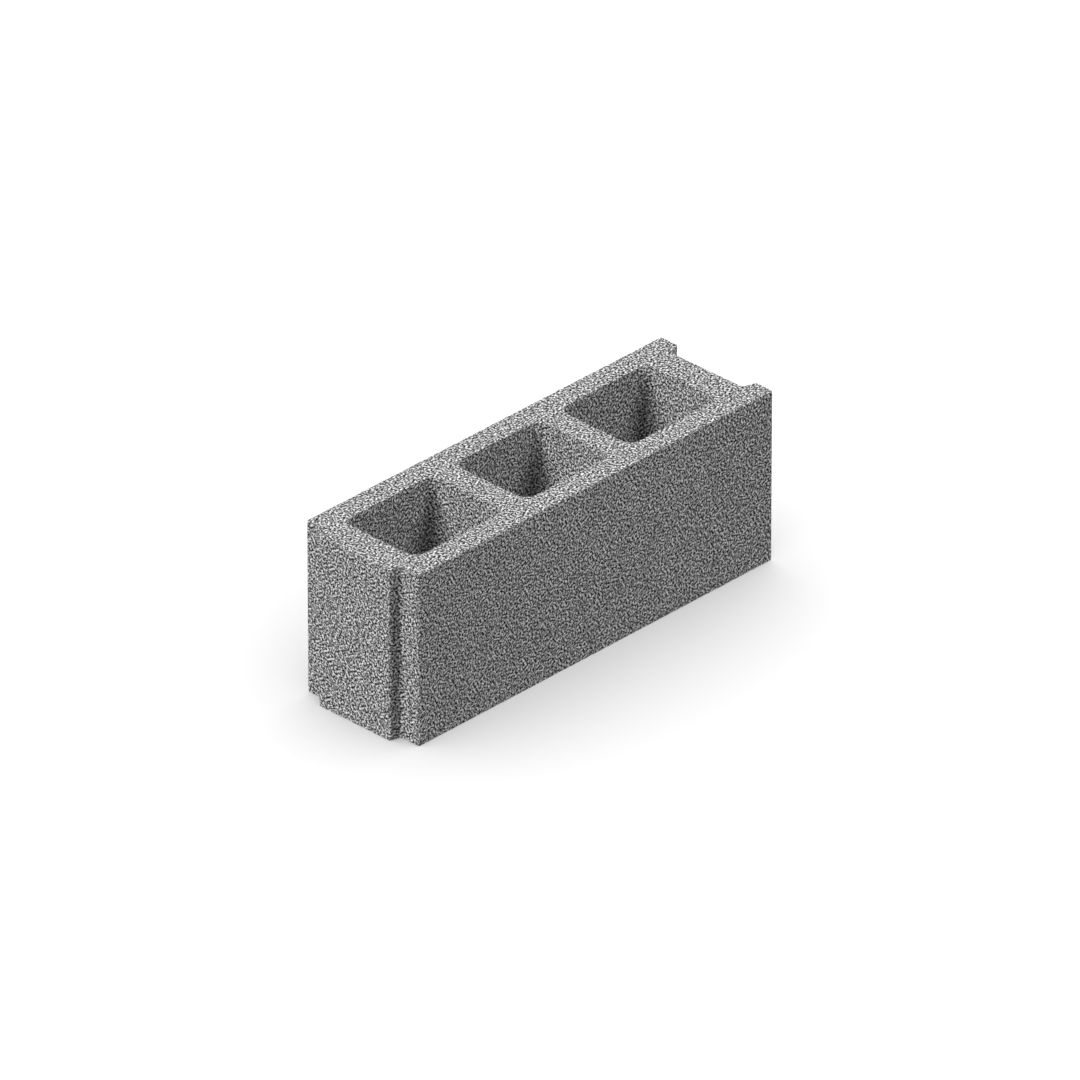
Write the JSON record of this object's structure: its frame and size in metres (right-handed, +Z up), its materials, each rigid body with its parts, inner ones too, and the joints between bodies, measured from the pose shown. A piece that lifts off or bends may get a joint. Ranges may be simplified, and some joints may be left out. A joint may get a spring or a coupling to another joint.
{
  "type": "hollow concrete block",
  "caption": "Hollow concrete wall block with a row of rectangular cells, and a tongue on one end that keys into the groove of the next block.",
  "frame": {"origin": "middle of the overall length and thickness, on the bed face that the block rests on", "axes": "+X along the length from the tongue end to the groove end, +Y across the wall, +Z up"},
  "size_m": [0.502, 0.15, 0.19],
  "materials": {
    "concrete": "rough, dry-pressed concrete with an open grain"
  },
  "bodies": {
    "root": {"block": "concrete"}
  },
  "joints": []
}
